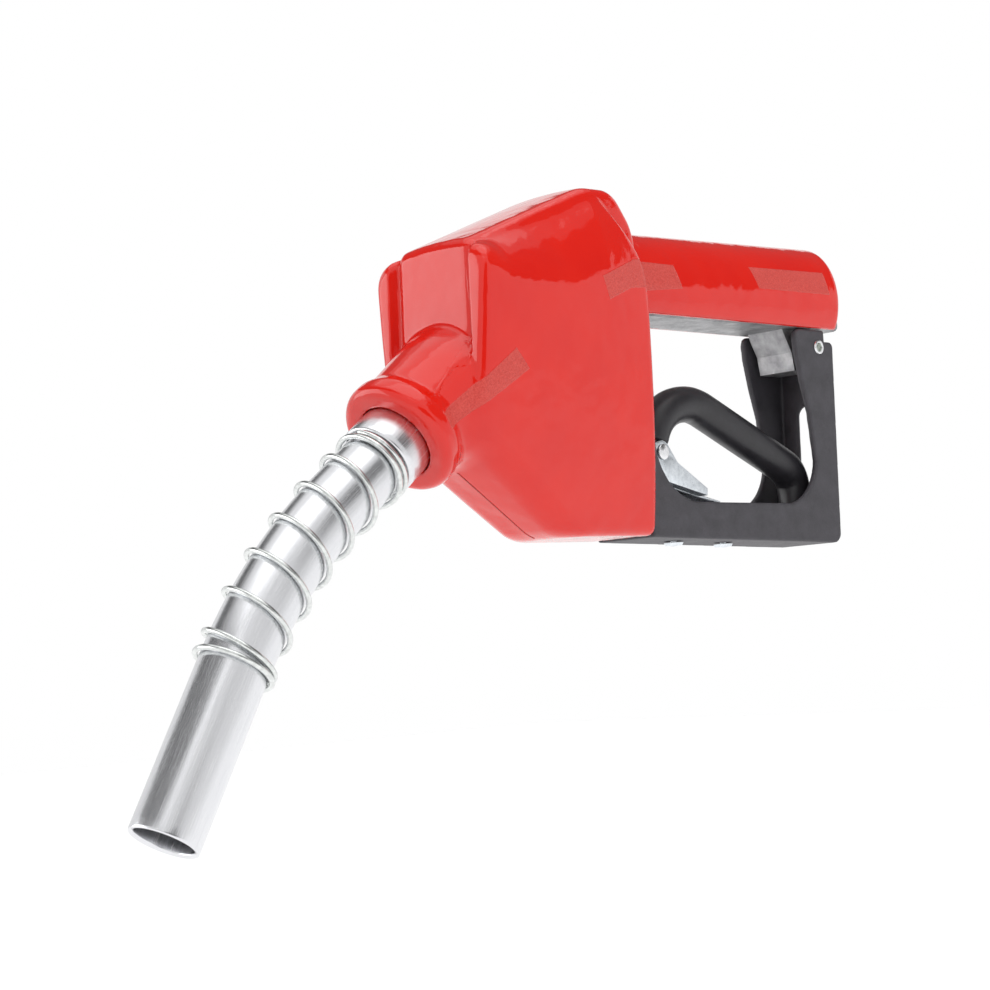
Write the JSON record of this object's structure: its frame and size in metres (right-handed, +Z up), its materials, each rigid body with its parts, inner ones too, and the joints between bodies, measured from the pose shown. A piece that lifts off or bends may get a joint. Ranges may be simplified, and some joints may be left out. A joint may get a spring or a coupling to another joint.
{
  "type": "automatic fuel nozzle",
  "caption": "Automatic fuel nozzle: red vinyl hand cover, bent aluminium spout with anchor spring, black lever guard, coated squeeze lever and hold-open clip.",
  "frame": {"origin": "centre of the hose inlet face at the rear of the handle", "axes": "+X is the way the hose leaves, -X towards the spout, +Z up from the lever guard to the handle"},
  "size_m": [0.3597, 0.058, 0.2293],
  "materials": {
    "red_cover": "gloss",
    "cast_body": "satin",
    "bright_aluminium": "polished",
    "zinc_steel": "satin",
    "spring_wire": "polished",
    "valve_brass": "satin",
    "guard_plastic": "matte",
    "lever_coating": "satin",
    "seal_rubber": "matte"
  },
  "bodies": {
    "nozzle": {"anchor_spring": "spring_wire", "body_casting": "cast_body", "cap_screw_1": "zinc_steel", "cap_screw_2": "zinc_steel", "cap_screw_3": "zinc_steel", "cap_screw_4": "zinc_steel", "check_guide": "valve_brass", "check_seat": "valve_brass", "check_spring": "spring_wire", "diaphragm": "seal_rubber", "diaphragm_cap": "cast_body", "diaphragm_spring": "spring_wire", "guard_rivet": "zinc_steel", "guard_screw_front_far": "zinc_steel", "guard_screw_front_near": "zinc_steel", "guard_screw_rear_far": "zinc_steel", "guard_screw_rear_near": "zinc_steel", "hand_cover": "red_cover", "hold_open_rack": "zinc_steel", "inlet_seal": "seal_rubber", "inlet_strainer": "valve_brass", "lever_guard": "guard_plastic", "main_spring": "spring_wire", "packing_nut": "valve_brass", "packing_seal": "seal_rubber", "plunger_spring": "spring_wire", "rack_screw_front": "zinc_steel", "rack_screw_rear": "zinc_steel", "spout_ferrule": "bright_aluminium", "spout_seal": "seal_rubber", "spout_tube": "bright_aluminium", "valve_cap": "valve_brass", "valve_seat": "valve_brass", "vent_tube": "bright_aluminium"},
    "plunger": {"latch_plunger": "zinc_steel", "latch_roller_far": "zinc_steel", "latch_roller_near": "zinc_steel", "lever_pin": "zinc_steel"},
    "lever": {"lever_fork": "zinc_steel", "lever_grip": "lever_coating", "clip_rivet": "zinc_steel"},
    "clip": {"hold_open_clip": "zinc_steel"},
    "poppet": {"main_poppet": "valve_brass", "poppet_seal": "seal_rubber", "valve_stem": "bright_aluminium"},
    "check": {"check_poppet": "valve_brass"},
    "latch": {"latch_pin": "zinc_steel"}
  },
  "joints": [
    {"name": "plunger_drop", "type": "slide", "parent": "nozzle", "child": "plunger", "axis": [0, 0, -1], "range_m": [0, 0.004], "stiffness_N_per_m": 1500, "springref_m": -0.01, "deforming": ["plunger_spring"]},
    {"name": "lever_hinge", "type": "hinge", "parent": "plunger", "child": "lever", "pos_m": [-0.178, 0, -0.086], "axis": [0, -1, 0], "range_deg": [0, 11], "stiffness_Nm_per_rad": 6, "springref_deg": -11.46},
    {"name": "clip_hinge", "type": "hinge", "parent": "lever", "child": "clip", "pos_m": [-0.11, 0, -0.0697], "axis": [0, -1, 0], "range_deg": [-10, 0], "stiffness_Nm_per_rad": 0.05, "springref_deg": 17.19},
    {"name": "poppet_lift", "type": "slide", "parent": "nozzle", "child": "poppet", "axis": [0, 0, 1], "range_m": [0, 0.0056], "deforming": ["main_spring"]},
    {"name": "check_slide", "type": "slide", "parent": "nozzle", "child": "check", "axis": [-0.7986, 0, -0.6018], "range_m": [0, 0.003], "stiffness_N_per_m": 300, "springref_m": -0.002},
    {"name": "latch_slide", "type": "slide", "parent": "nozzle", "child": "latch", "axis": [0, 0, 1], "range_m": [0, 0.002], "stiffness_N_per_m": 300, "springref_m": -0.001, "deforming": ["diaphragm_spring"]}
  ],
  "couplings": [
    {"joint": "poppet_lift", "follows": "lever_hinge", "m_per_rad": 0.02835}
  ]
}
